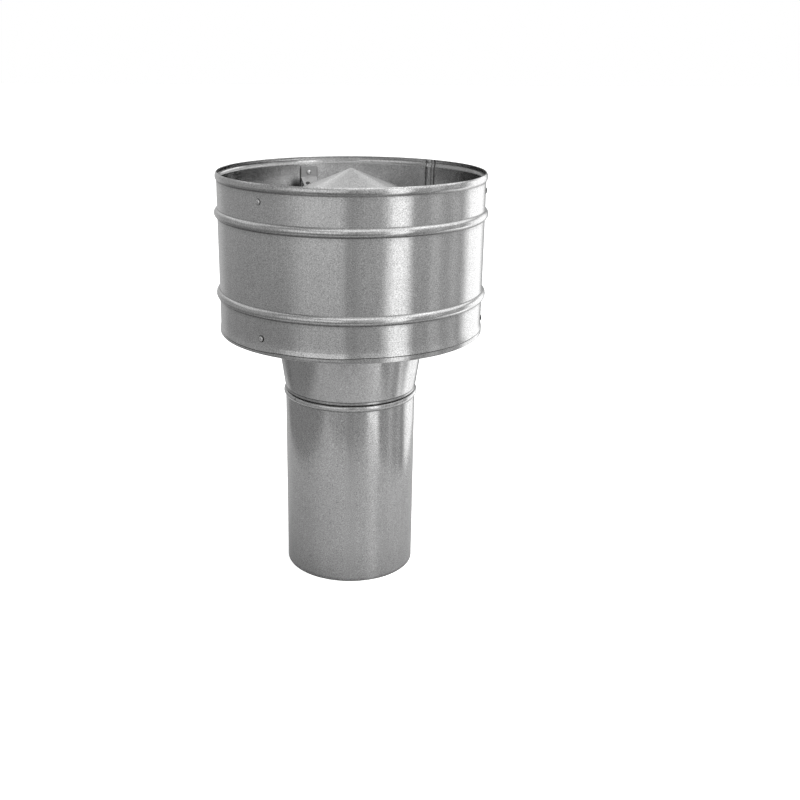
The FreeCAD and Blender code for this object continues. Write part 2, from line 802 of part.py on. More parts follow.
def write_parts(bodies):
    check_objects()
    for body in bodies:
        if body.Shape.isNull() or not body.Shape.isValid():
            raise RuntimeError(f"{body.Label} has no valid shape")
    os.makedirs("parts", exist_ok=True)
    for body in bodies:
        body.Shape.exportStep(os.path.join("parts", f"{body.Label}.step"))
        solids = len(body.Shape.Solids)
        print(f"{body.Label}: {solids} solid(s), {body.Shape.Volume:.0f} mm3")


sub_parts = build_all()
doc.recompute()
write_parts(sub_parts)
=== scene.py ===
import math

import bmesh
import bpy
import numpy as np
from mathutils import Matrix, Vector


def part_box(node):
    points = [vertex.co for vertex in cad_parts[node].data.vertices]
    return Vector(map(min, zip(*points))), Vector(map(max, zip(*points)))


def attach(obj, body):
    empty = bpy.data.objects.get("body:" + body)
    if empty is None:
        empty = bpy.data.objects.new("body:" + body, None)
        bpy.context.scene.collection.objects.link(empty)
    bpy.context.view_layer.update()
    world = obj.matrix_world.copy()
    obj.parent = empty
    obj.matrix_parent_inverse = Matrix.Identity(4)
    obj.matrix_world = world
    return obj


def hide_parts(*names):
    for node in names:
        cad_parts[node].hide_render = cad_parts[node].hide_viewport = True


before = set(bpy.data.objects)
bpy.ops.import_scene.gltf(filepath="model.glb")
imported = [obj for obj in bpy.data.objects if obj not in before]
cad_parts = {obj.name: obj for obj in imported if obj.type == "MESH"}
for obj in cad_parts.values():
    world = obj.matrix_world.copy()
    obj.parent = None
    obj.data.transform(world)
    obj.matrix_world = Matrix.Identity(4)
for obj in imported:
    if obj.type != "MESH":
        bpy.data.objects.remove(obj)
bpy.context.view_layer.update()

bl_info = {
    "name": "Roof ventilator",
    "version": (1, 0, 0),
    "blender": (4, 5, 0),
    "location": "View3D > Sidebar > Ventilator",
    "description": "Dresses a round roof ventilator of galvanised sheet with a deflector drum",
    "category": "Object",
}

MM = 0.001
BODY = "root"
STRIPS = 3
# Points of a line that are closer than this, in metres, are one point.
SAME_PLACE = 1e-9
# Bearings round the pipe, diffuser and cap, round the drum, and round a rivet.
ROUND_STEPS, DRUM_STEPS, RIVET_STEPS = 300, 270, 28
# Places along a straight lock seam.
SEAM_POINTS = 30

# Shares of sRGB's curve that turns a written colour to a linear one.
SRGB_KNEE, SRGB_SLOPE, SRGB_LIFT, SRGB_POWER = 0.04045, 12.92, 0.055, 2.4


def linear(colour):
    """An sRGB hex colour, such as "B0B3B5", as linear red, green, blue and alpha."""
    shares = [int(colour[i:i + 2], 16) / 255 for i in (0, 2, 4)]
    curved = [
        s / SRGB_SLOPE if s <= SRGB_KNEE else ((s + SRGB_LIFT) / (1 + SRGB_LIFT)) ** SRGB_POWER
        for s in shares
    ]
    return (*curved, 1.0)


# Sizes and colours that a user would change


def length(name, description, millimetres):
    return bpy.props.FloatProperty(
        name=name, description=description, default=millimetres * MM, min=0.0, precision=5,
        subtype="DISTANCE", unit="LENGTH",
    )


def turn(name, description, degrees):
    return bpy.props.FloatProperty(
        name=name, description=description, default=math.radians(degrees),
        subtype="ANGLE", unit="ROTATION",
    )


def paint(name, description, colour):
    return bpy.props.FloatVectorProperty(
        name=name, description=description, default=linear(colour), size=4, min=0.0, max=1.0,
        subtype="COLOR",
    )


# Low and high corners of the solids' boxes, in metres
DRUM_LOW, DRUM_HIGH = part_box("drum_shell")
PIPE_LOW, PIPE_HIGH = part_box("spigot_pipe")
CONE_LOW, CONE_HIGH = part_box("diffuser_cone")
_, CAP_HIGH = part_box("rain_cap")


class VentilatorSizes(bpy.types.PropertyGroup):
    """Sizes of the sheet pieces that the solids don't give by themselves."""

    gauge: length("Sheet gauge", "Thickness of the rolled sheet", 0.6)
    crease: length("Crease radius", "Softness of the rolled creases", 0.22)
    drum_radius: length("Drum radius", "Outer radius of the drum's plain wall", 122.5)
    bead_height: length("Bead height", "Height of a stiffening bead", 8.1)
    bead_rise: length("Bead rise", "How far a bead stands out", 3.0)
    bead_inset: length("Bead inset", "From the drum's edge to a bead's middle", 36.6)
    rim_height: length("Rim height", "Height of the upper rim", 7.2)
    rim_rise: length("Rim rise", "How far the upper rim stands out", 1.3)
    hem_height: length("Hem height", "Height of the lower edge folded up outside", 4.4)
    hem_gap: length("Hem gap", "Gap inside the fold of the hem", 0.12)
    hem_sag: length("Hem sag", "How much narrower the hem is at the front left", 2.2)
    flare_top: length("Flare top", "From the lower edge to the top of the flare", 9.0)
    flare_height: length("Flare height", "Height of the flare above the hem", 4.0)
    flare_rise: length("Flare rise", "How far the wall flares out over the hem", 0.75)
    pipe_radius: length("Pipe radius", "Outer radius of the spigot pipe", 62.5)
    pipe_bead_height: length("Pipe bead height", "Height of the bead at the pipe's top", 6.2)
    pipe_bead_rise: length("Pipe bead rise", "How far the pipe's bead stands out", 1.8)
    joint_gap: length("Joint gap", "Open line between the pipe's bead and the neck", 0.55)
    neck_height: length("Neck height", "Height of the neck above the pipe", 2.6)
    neck_step: length("Neck step", "How far the neck stands out past the pipe", 0.3)
    collar_clearance: length("Collar clearance", "Gap round the collar in the pipe", 0.1)
    mouth_radius: length("Mouth radius", "Outer radius of the diffuser's mouth", 79.6)
    cap_radius: length("Cap radius", "Outer radius of the rain cap", 103.0)
    cap_fall: turn("Cap slope", "Slope of the rain cap", 21.8)
    cap_lip: length("Cap lip", "Height of the cap's turned-down lip", 5.0)
    seam_width: length("Seam width", "Width of a lock seam", 9.0)
    seam_fold: length("Seam fold", "How far a lock seam stands in", 1.2)
    drum_seam: turn("Drum seam bearing", "Bearing of the drum's lock seam", 49.8)
    back_seam: turn("Pipe seam bearing", "Bearing of the seams of the pipe, diffuser and cap", 90.0)
    strip_bearing: turn("Bracket bearing", "Bearing of the first pair of brackets", -129.0)
    dent: length("Dents", "Depth of the shallow waves that rolling leaves", 0.07)
    dimple: length("Dimples", "How far a rivet pulls the drum's wall in", 0.25)


class VentilatorFinish(bpy.types.PropertyGroup):
    """Colours of the finishes."""

    zinc: paint("Zinc", "Bright zinc of the sheet", "C3C3C3")
    dull_zinc: paint("Dull zinc", "Zinc of the bracket strip", "A9A9A9")
    rivet: paint("Rivet", "Plain aluminium of the rivets", "DADADA")
    # Painted shade: a dark colour laid where shade falls, in folds, creases, gaps, round the rivets
    # and beside the brackets.
    painted_shade: paint("Grime", "Dust and shade in the folds", "2B2B2B")
    floor: paint("Floor", "Pale floor", "F4F4F4")
    card: paint("Card", "Pale card round the object", "A6A6A6")


# Sections: lines of (radius, height) points, in metres


def lengths_along(path):
    """Distance from a line's first point to each of its points."""
    return np.concatenate([[0.0], np.cumsum(np.linalg.norm(np.diff(path, axis=0), axis=1))])


def read_line(wanted, places, path):
    """Points of a line at the wanted places, read in proportion between its own."""
    return np.stack([np.interp(wanted, places, path[:, k]) for k in range(path.shape[1])], axis=1)


def arc(radius, height, bend, start, end, count):
    """Points round a circle about (radius, height), from one angle to another."""
    angle = np.linspace(start, end, count)
    return np.stack([radius + bend * np.cos(angle), height + bend * np.sin(angle)], axis=1)


def bead_arc(radius, low, high, rise):
    """Arc of a bead: through both edges of the bead and out by rise midway.

    Its bend is (half height squared + rise squared) / (2 rise).
    """
    half = (high - low) / 2
    bend = (half * half + rise * rise) / (2 * rise)
    reach = math.asin(min(half / bend, 1.0))
    return arc(radius + rise - bend, (low + high) / 2, bend, -reach, reach, 33)


def flare_line(radius, low, high, rise):
    """A wall's outer line going up where it flares out over its hem.

    It steps out by rise at the low end and runs straight back to the wall at the high end.
    """
    step = 0.25 * MM
    return np.array([[radius, low - step], [radius + rise, low], [radius, high]])


def shaped_line(radius, bottom, top, shapes):
    """A wall's outer line going up: straight at its radius, with the points of each shape."""
    line = np.concatenate([[[radius, bottom]], *shapes, [[radius, top]]])
    return line[np.concatenate([[True], np.diff(lengths_along(line)) > SAME_PLACE])]


def soften(path, reach):
    """Rounds a line's corners: each point is the bell-weighted mean of its neighbours.

    The bell is reach wide; past both ends the line is carried on by turning it about its end.
    """
    places = lengths_along(path)
    even = np.linspace(0, places[-1], int(4 * places[-1] / reach) + 2)
    line = read_line(even, places, path)
    span = int(3 * reach / even[1]) + 1
    span = min(span, len(line) - 1)
    bell = np.exp(-0.5 * (np.arange(-span, span + 1) * even[1] / reach) ** 2)
    bell /= bell.sum()
    before = 2 * line[0] - line[span:0:-1]
    after = 2 * line[-1] - line[-2:-span - 2:-1]
    padded = np.concatenate([before, line, after])
    return np.stack([np.convolve(padded[:, k], bell, "valid") for k in (0, 1)], axis=1)


def needed_points(path, longest, sharpest, beside=0.9 * MM):
    """Fewer points on a line: none farther apart than longest or turned more than sharpest.

    Beside a bend tighter than 1 mm they are at most 0.5 mm apart, so that its shade stays narrow.
    """
    tight, closest = 1 * MM, 0.5 * MM
    steps = np.diff(path, axis=0)
    lengths = np.linalg.norm(steps, axis=1)
    heading = np.unwrap(np.arctan2(steps[:, 1], steps[:, 0]))
    turned = np.abs(np.gradient(heading)) if len(heading) > 1 else np.zeros(1)
    along = lengths_along(path)[:-1]
    bends = along[turned * tight > lengths]
    near = (np.abs(along[:, None] - bends[None, :]) < beside).any(axis=1)
    cost = lengths / np.where(near, closest, longest) + turned / sharpest
    places = np.concatenate([[0.0], np.cumsum(cost)])
    wanted = np.linspace(0, places[-1], max(int(math.ceil(places[-1])), 1) + 1)
    return read_line(wanted, places, path)


def normals_of(path):
    """Directions square to a line, on the right of its way: outwards where it goes up."""
    way = np.gradient(path, axis=0)
    way /= np.linalg.norm(way, axis=1)[:, None]
    return np.stack([way[:, 1], -way[:, 0]], axis=1)


def sheet_section(outer, gauge):
    """A closed section: the outer line up, then the line one gauge inside it down.

    Each cut edge gets a point that stands out by a quarter of the gauge.
    """
    normal = normals_of(outer)
    inner = outer - gauge * normal
    way = np.stack([-normal[:, 1], normal[:, 0]], axis=1)
    top = (outer[-1] + inner[-1]) / 2 + way[-1] * gauge / 4
    foot = (outer[0] + inner[0]) / 2 - way[0] * gauge / 4
    return np.concatenate([outer, top[None], inner[::-1], foot[None]])


# Surfaces


def wrapped(angle):
    """The same angle between minus half a turn and half a turn."""
    return (angle + math.pi) % (2 * math.pi) - math.pi


def even_bearings(count, details=()):
    """Bearings all round, with finer ones round each detail.

    A detail is its bearing, its half width and the number of bearings across it.
    """
    bearings = np.linspace(0, 2 * math.pi, count, endpoint=False)
    for centre, half, extra in details:
        centre %= 2 * math.pi
        away = np.abs(wrapped(bearings - centre))
        fine = centre + np.linspace(-half, half, extra)
        bearings = np.concatenate([bearings[away > half * 1.2], fine % (2 * math.pi)])
    return np.sort(bearings)


def grid_faces(rows, columns, close_rows, close_columns):
    """Quads of a grid whose row i and column j is vertex i * columns + j."""
    i = np.arange(rows if close_rows else rows - 1)[:, None]
    j = np.arange(columns if close_columns else columns - 1)[None, :]
    after_i, after_j = (i + 1) % rows, (j + 1) % columns
    corners = [(i, j), (after_i, j), (after_i, after_j), (i, after_j)]
    return np.stack([row * columns + column for row, column in corners], axis=-1).reshape(-1, 4)


def fan(pole, first, second):
    """Triangles from one pole to each pair of points of a ring."""
    return np.stack([np.full_like(first, pole), first, second], axis=1)


def turned_surface(section, bearings, shift=None, closed=True):
    """A section turned about Z: x = radius cos(bearing), y = radius sin(bearing), z = height.

    shift adds to the radius by bearing and height. An open section starts and ends on the axis,
    and its two end points become single poles.
    """
    line = section if closed else section[1:-1]
    b, height = bearings[:, None], line[None, :, 1] + 0 * bearings[:, None]
    radius = line[None, :, 0] + (0 * b if shift is None else shift(b, height))
    points = np.stack([radius * np.cos(b), radius * np.sin(b), height], axis=-1).reshape(-1, 3)
    quads = grid_faces(len(bearings), len(line), True, closed)
    if closed:
        return points, [quads]
    poles = np.array([[0, 0, section[0, 1]], [0, 0, section[-1, 1]]])
    column = np.arange(len(bearings)) * len(line)
    after, last = np.roll(column, -1), len(line) - 1
    fans = np.concatenate([
        fan(len(points), after, column), fan(len(points) + 1, column + last, after + last),
    ])
    return np.concatenate([points, poles]), [quads, fans]


def turned_to(bearing, out, side, up):
    """Points out from the axis and to one side of that way, turned to a bearing."""
    sine, cosine = math.sin(bearing), math.cos(bearing)
    return np.stack([out * cosine - side * sine, out * sine + side * cosine, up], axis=-1)


def closed_tube(rings):
    """A ring of points carried along a path, with a fan over each end."""
    count, across = rings.shape[:2]
    points = rings.reshape(-1, 3)
    quads = grid_faces(count, across, False, True)
    ends = np.stack([rings[0].mean(axis=0), rings[-1].mean(axis=0)])
    j = np.arange(across)
    after, last = (j + 1) % across, (count - 1) * across
    fans = np.concatenate([
        fan(len(points), j, after), fan(len(points) + 1, last + after, last + j),
    ])
    return np.concatenate([points, ends]), [quads, fans]


def joined(*surfaces):
    """Several closed surfaces as one list of points and faces, with each one's shade."""
    points, faces, shade, start = [], [], [], 0
    for (own_points, own_faces), own_shade in surfaces:
        points.append(own_points)
        faces += [group + start for group in own_faces]
        shade.append(np.broadcast_to(own_shade, len(own_points)))
        start += len(own_points)
    return np.concatenate(points), faces, np.concatenate(shade)


def add_object(name, data):
    """A new object in the scene."""
    made = bpy.data.objects.new(name, data)
    bpy.context.scene.collection.objects.link(made)
    return made


def make_piece(name, nodes, slot, points, faces, shade):
    """Puts points and faces into a mesh object that stands for CAD nodes.

    shade is kept as a point attribute that the material reads as painted shade in folds and
    creases.
    """
    corners = np.concatenate([group.ravel() for group in faces])
    sizes = np.concatenate([np.full(len(group), group.shape[1]) for group in faces])
    mesh = bpy.data.meshes.new(name)
    mesh.vertices.add(len(points))
    mesh.vertices.foreach_set("co", points.ravel())
    mesh.loops.add(len(corners))
    mesh.loops.foreach_set("vertex_index", corners)
    mesh.polygons.add(len(sizes))
    mesh.polygons.foreach_set("loop_start", np.concatenate([[0], np.cumsum(sizes)[:-1]]))
    mesh.polygons.foreach_set("loop_total", sizes)
    mesh.update(calc_edges=True)
    mesh.validate()
    mesh.shade_smooth()
    mesh.set_sharp_from_angle(angle=math.radians(40))
    painted_shade = mesh.attributes.new("painted_shade", "FLOAT", "POINT")
    painted_shade.data.foreach_set("value", shade.astype(np.float32))
    mesh.materials.append(finish_of(slot))
    piece = add_object(name, mesh)
    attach(piece, BODY)
    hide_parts(*nodes)


def bell(distance, reach):
    """A bell curve: 1 at no distance, 0.61 at one reach."""
    return np.exp(-0.5 * (distance / reach) ** 2)


def pressed_line(bearings, turned, radius, reach=0.35 * MM):
    """How far in a wall lies along the line that a lock seam's edge presses in it."""
    return 0.3 * MM * bell(wrapped(bearings - turned) * radius, reach)


def strip_bearings(sizes):
    return [sizes.strip_bearing + 2 * math.pi * k / STRIPS for k in range(STRIPS)]


# Waves: turns round the axis, waves a metre up, share of the depth, start in turns
WAVES = (
    (2, 0.0, 1.3, 0.10), (3, 2.0, 0.9, 0.62), (5, 4.0, 0.8, 0.35), (7, -3.0, 0.6, 0.81),
    (11, 6.0, 0.45, 0.22), (17, -9.0, 0.25, 0.54), (26, 12.0, 0.12, 0.05),
)


def waves(bearing, height, depth):
    """Shallow waves in rolled sheet: a sum of sines over the bearing and the height."""
    total = 0.0
    for turns, rise, share, start in WAVES:
        total = total + share * np.sin(turns * bearing + 2 * math.pi * (rise * height + start))
    return depth * total


def seam_band(path, radius, bearing, width, fold, gauge):
    """A lock seam's folded layers on the inside of a wall, with painted shade in them.

    Its section is a flat band with half-round folds, carried along the wall's line. One side is
    half as thick, past a step where one sheet's edge ends; across the band a point's bearing is
    its distance over the wall's radius. Shade is painted by the wall and along the step.
    """
    half, thin, step = width / 2, fold * 0.55, -1.5 * MM
    level, lean, edge = 0.3 * MM, 0.06 * MM, 0.1 * MM
    bend, low_bend, quarter = fold / 2, thin / 2, math.pi / 2
    right = arc(half - bend, bend, bend, -quarter, quarter, 7)
    left = arc(low_bend - half, low_bend, low_bend, quarter, 3 * quarter, 7)
    middle = np.array([
        [step + level, fold], [step + lean, fold - edge], [step, thin], [step - level, thin],
    ])
    ring = np.concatenate([right, middle, left])
    normal = normals_of(path)
    # The band starts half a gauge inside the sheet, so that no light passes under it.
    depth = gauge * 0.75 + ring[None, :, 1]
    place = path[:, None, :] - depth[:, :, None] * normal[:, None, :]
    b = bearing + ring[None, :, 0] / radius
    rings = np.stack([place[..., 0] * np.cos(b), place[..., 0] * np.sin(b), place[..., 1]], axis=-1)
    painted_shade = np.maximum(bell(ring[:, 1], 0.35 * MM), 0.8 * bell(ring[:, 0] - step, 0.12 * MM))
    return closed_tube(rings), np.append(np.tile(painted_shade, len(path)), [0.5, 0.5])


# Materials


def add_node(tree, kind, settings=None, links=None):
    """Adds a shader node; settings are properties or unlinked inputs, links feed its inputs."""
    node = tree.nodes.new("ShaderNode" + kind)
    for key, value in (settings or {}).items():
        if isinstance(key, str) and hasattr(node, key):
            setattr(node, key, value)
        else:
            node.inputs[key].default_value = value
    for key, socket in (links or {}).items():
        tree.links.new(socket, node.inputs[key])
    return node


def empty_tree(owner):
    """The node tree of a new material or world, with nothing in it."""
    owner.use_nodes = True
    owner.node_tree.nodes.clear()
    return owner, owner.node_tree


def show(tree, surface, owner="Material"):
    """Makes a node's first output the surface of its material or world."""
    add_node(tree, "Output" + owner, {}, {"Surface": surface.outputs[0]})


def noise(tree, place, feature, detail=2.0, rough=0.5):
    """Grey noise whose features are about one real size across, in metres."""
    node = add_node(
        tree, "TexNoise", {"Scale": 1 / feature, "Detail": detail, "Roughness": rough},
        {"Vector": place},
    )
    return node.outputs["Fac"]


def spread(tree, value, low, high, to_low, to_high, change="LINEAR"):
    """A value that runs from low to high, laid out between two others."""
    node = add_node(
        tree, "MapRange",
        {"interpolation_type": change, "From Min": low, "From Max": high,
         "To Min": to_low, "To Max": to_high},
        {"Value": value},
    )
    return node.outputs["Result"]


def levels(tree, grey, low, high):
    """Noise laid out between two levels: nearly all of it lies between 0.3 and 0.7."""
    return spread(tree, grey, 0.3, 0.7, low, high)


def maths(tree, operation, links, settings=None):
    """One step of arithmetic on sockets."""
    settings = {"operation": operation, **(settings or {})}
    return add_node(tree, "Math", settings, links).outputs[0]


def multiplied(tree, *values):
    result = values[0]
    for value in values[1:]:
        result = maths(tree, "MULTIPLY", {0: result, 1: value})
    return result


def tinted(tree, colour, tone):
    """A colour made lighter or darker by a tone."""
    return add_node(
        tree, "Mix",
        {"data_type": "RGBA", "blend_type": "MULTIPLY", 0: 1.0, 6: colour}, {7: tone},
    ).outputs[2]


def with_painted_shade(tree, clean, painted_shade):
    """A clean colour darkened towards the painted shade colour by the mesh's own painted shade, and
    that shade.
    """
    folds = add_node(tree, "Attribute", {"attribute_name": "painted_shade"}).outputs["Fac"]
    settings = {"data_type": "RGBA", 7: painted_shade}
    return add_node(tree, "Mix", settings, {0: folds, 6: clean}).outputs[2], folds


def zinc_material(name, colour, painted_shade, grain, rough, stretch, contrast):
    """Zinc-coated sheet: a mottled bright metal whose reflections are drawn out up and down."""
    material, tree = empty_tree(bpy.data.materials.new(name))
    place = add_node(tree, "TexCoord").outputs["Object"]
    # Frosted grain of the zinc.
    fine = levels(tree, noise(tree, place, grain, 2.0, 0.62), 1 - contrast, 1 + contrast)
    # Spangle, the zinc's flat crystals, some 6 mm across and hardly lighter or darker.
    cells = add_node(
        tree, "TexVoronoi", {"Scale": 1 / (6 * MM), "Randomness": 1.0}, {"Vector": place}
    )
    spangle = spread(tree, cells.outputs["Color"], 0.0, 1.0, 0.975, 1.025)
    # Clouds from handling and from the sheet's coil, about 60 mm.
    clouds = levels(tree, noise(tree, place, 60 * MM), 0.97, 1.03)
    # Lines up the sheet from the rolls, 1.6 mm wide: the pattern is drawn out along Z.
    drawn_out = {"Scale": (1.0, 1.0, 0.04)}
    along = add_node(tree, "Mapping", drawn_out, {"Vector": place}).outputs[0]
    rolled = levels(tree, noise(tree, along, 1.6 * MM, 3.0), 0.96, 1.04)
    clean = tinted(tree, colour, multiplied(tree, fine, spangle, clouds, rolled))
    base, folds = with_painted_shade(tree, clean, painted_shade)
    # Smooth zinc with duller patches, and rougher where the painted shade lies.
    patches = levels(tree, noise(tree, place, 2.2 * MM, 3.0), rough - 0.04, rough + 0.04)
    roughness = maths(tree, "MULTIPLY_ADD", {0: folds, 2: patches}, {1: 0.35})
    bump = add_node(
        tree, "Bump", {"Strength": 0.085, "Distance": 0.05 * MM},
        {"Height": noise(tree, place, grain * 1.5, 2.0)},
    )
    tangent = add_node(tree, "Tangent", {"direction_type": "RADIAL", "axis": "Z"})
    surface = add_node(
        tree, "BsdfPrincipled",
        {"Metallic": 1.0, "Anisotropic": stretch, "Anisotropic Rotation": 0.25},
        {"Base Color": base, "Roughness": roughness, "Normal": bump.outputs[0],
         "Tangent": tangent.outputs[0]},
    )
    show(tree, surface)
    return material


def rivet_material(name, colour, painted_shade):
    """Plain aluminium, cold headed: brighter and smoother than the sheet, with painted shade in its
    recess.
    """
    material, tree = empty_tree(bpy.data.materials.new(name))
    place = add_node(tree, "TexCoord").outputs["Object"]
    scuffs = noise(tree, place, 0.8 * MM, 3.0)
    base, _ = with_painted_shade(tree, tinted(tree, colour, levels(tree, scuffs, 0.9, 1.05)), painted_shade)
    surface = add_node(
        tree, "BsdfPrincipled", {"Metallic": 1.0},
        {"Base Color": base, "Roughness": levels(tree, scuffs, 0.24, 0.36)},
    )
    show(tree, surface)
    return material


MATERIALS = {}


def finish_of(slot):
    """The finish of a material slot, made when it is first asked for."""
    if slot not in MATERIALS:
        c = bpy.context.scene.ventilator_finish
        if slot == "galvanised_sheet":
            # Hot-dip galvanised steel sheet, skin-passed and rolled: grey, frosted, satin.
            settings = (c.zinc, c.painted_shade, 0.8 * MM, 0.18, 0.35, 0.42)
            MATERIALS[slot] = zinc_material("galvanised_steel_sheet", *settings)
        elif slot == "bracket_strip":
            # Galvanised strip, cut and folded: duller zinc with a coarser grain.
            settings = (c.dull_zinc, c.painted_shade, 1.0 * MM, 0.42, 0.3, 0.12)
            MATERIALS[slot] = zinc_material("galvanised_steel_strip", *settings)
        else:
            MATERIALS[slot] = rivet_material("cold_headed_aluminium", c.rivet, c.painted_shade)
    return MATERIALS[slot]


# Pieces


def crease_shade(points, creases):
    """Painted shade along creases, each a radius, a height, a reach and a strength."""
    out = np.hypot(points[:, 0], points[:, 1])
    return np.max([
        strength * bell(np.hypot(out - radius, points[:, 2] - height), reach)
        for radius, height, reach, strength in creases
    ], axis=0)


def distance_round(points, radius, turned):
    """Distance of points round a wall from a bearing, positive where the bearing grows."""
    return wrapped(np.arctan2(points[:, 1], points[:, 0]) - turned) * radius


def fold_shade(points, radius, folds):
    """Painted shade along upright folds and edges, each a bearing, a reach, a strength, and from
    and to a height.
    """
    height = points[:, 2]
    return np.max([
        strength * bell(distance_round(points, radius, b), reach) * (height > low) * (height < high)
        for b, reach, strength, low, high in folds
    ], axis=0)


def spot_shade(points, radius, spots):
    """Painted shade in spots on a wall, each a bearing, a height, two half sizes and a strength.

    A spot is an oval whose shade falls with the fourth power of the distance from its middle.
    """
    total = np.zeros(len(points))
    for b, height, half_width, half_height, strength in spots:
        across = distance_round(points, radius, b) / half_width
        up = (points[:, 2] - height) / half_height
        total = np.maximum(total, strength * np.exp(-((across ** 2 + up ** 2) ** 2)))
    return total


def smooth_step(value, start, end):
    """0 before the start and 1 past the end, with a smooth change between them."""
    share = np.clip((value - start) / (end - start), 0, 1)
    return share * share * (3 - 2 * share)


def hemmed_line(radius, bottom, gauge, height, gap, line):
    """A wall's outer line with its lower edge folded up outside.

    The line comes down the fold's inner face, turns half round in the gap and, from just over
    it, goes on up the wall.
    """
    fold, over = bottom + gauge + gap / 2, 0.3 * MM
    half_round = arc(radius + gap / 2, fold, gap / 2, 0, -math.pi, 9)
    raw_edge = np.array([[radius + gap, bottom + height]])
    return np.concatenate([raw_edge, half_round, line[line[:, 1] > fold + over]])


class VENTILATOR_OT_pipe(bpy.types.Operator):
    """Makes the spigot pipe: rolled sheet with a bead under its top edge and a lock seam."""

    bl_idname = "ventilator.pipe"
    bl_label = "Spigot pipe"

    def execute(self, context):
        s = context.scene.ventilator_sizes
        foot, top, radius = PIPE_LOW.z, PIPE_HIGH.z, s.pipe_radius
        bead = (top - s.pipe_bead_height, top, s.pipe_bead_rise)
        line = shaped_line(radius, foot, top, [bead_arc(radius, *bead)])
        # The bead's upper edge rolls in over the collar and leaves the joint's gap open.
        tuck = np.array([[radius - 0.1 * MM, top - s.joint_gap]])
        line = np.concatenate([line[line[:, 1] < top - s.joint_gap * 1.6], tuck])
        outer = needed_points(soften(line, s.crease), 3 * MM, math.radians(8))
        groove = s.back_seam - 0.5 * s.seam_width / radius

        def shift(b, z):
            # The waves fade out towards the bead.
            fade = np.clip((top - 12 * MM - z) / (20 * MM), 0, 1)
            return waves(b + 1.0, z, s.dent * 0.7) * fade - pressed_line(b, groove, radius)

        bearings = even_bearings(ROUND_STEPS, [(groove, 1.2 * MM / radius, 9)])
        wall = turned_surface(sheet_section(outer, s.gauge), bearings, shift)
        under_collar = top - 34.5 * MM
        seam_line = np.linspace([radius, foot + 0.2 * MM], [radius, under_collar], SEAM_POINTS)
        seam = seam_band(seam_line, radius, s.back_seam, s.seam_width, s.seam_fold, s.gauge)
        # Painted shade under the bead, in the joint at its top and along the foot.
        creases = [
            (radius, bead[0], 0.4 * MM, 0.6), (radius, top, 0.7 * MM, 0.7),
            (radius, foot, 0.5 * MM, 0.5),
        ]
        # A small nick in the bead, on its front left, painted as a dark spot of shade.
        nick_shade = (math.radians(-143.7), top - 2.4 * MM, 0.9 * MM, 1.2 * MM, 0.9)
        wall_shade = np.maximum(
            crease_shade(wall[0], creases), spot_shade(wall[0], radius, [nick_shade])
        )
        surfaces = joined((wall, wall_shade), seam)
        make_piece("pipe_sheet", ["spigot_pipe"], "galvanised_sheet", *surfaces)
        return {"FINISHED"}


class VENTILATOR_OT_diffuser(bpy.types.Operator):
    """Makes the diffuser: a collar in the pipe, a short neck and a cone that opens upwards."""

    bl_idname = "ventilator.diffuser"
    bl_label = "Diffuser"

    def execute(self, context):
        s = context.scene.ventilator_sizes
        ledge = PIPE_HIGH.z
        collar = s.pipe_radius - s.gauge - s.collar_clearance
        neck = s.pipe_radius + s.neck_step
        cone_foot = ledge + s.neck_height
        line = np.array([
            [collar, CONE_LOW.z], [collar, ledge - 0.1 * MM], [neck, ledge + 0.15 * MM],
            [neck, cone_foot], [s.mouth_radius, CONE_HIGH.z],
        ])
        outer = needed_points(soften(line, 0.24 * MM), 3 * MM, math.radians(9), beside=3.5 * MM)
        groove = s.back_seam - 0.5 * s.seam_width / s.pipe_radius

        def shift(b, z):
            # The waves and the seam's line fade out towards the neck.
            fade = np.clip((z - cone_foot - 4 * MM) / (15 * MM), 0, 1)
            return (waves(b + 2.0, z, s.dent * 0.8) - pressed_line(b, groove, s.pipe_radius)) * fade

        bearings = even_bearings(ROUND_STEPS, [(groove, 1.2 * MM / s.pipe_radius, 9)])
        wall = turned_surface(sheet_section(outer, s.gauge), bearings, shift)
        seam_line = np.linspace(
            [neck, cone_foot + s.seam_fold], [s.mouth_radius, CONE_HIGH.z - 0.2 * MM], SEAM_POINTS
        )
        seam = seam_band(seam_line, s.mouth_radius, s.back_seam, s.seam_width, s.seam_fold, s.gauge)
        # Painted shade in the crease at the cone's foot and in the joint over the pipe's edge.
        creases = [(neck, cone_foot, 0.3 * MM, 0.85), (collar, ledge, 0.9 * MM, 0.6)]
        surfaces = joined((wall, crease_shade(wall[0], creases)), seam)
        make_piece("diffuser_sheet", ["diffuser_cone"], "galvanised_sheet", *surfaces)
        return {"FINISHED"}


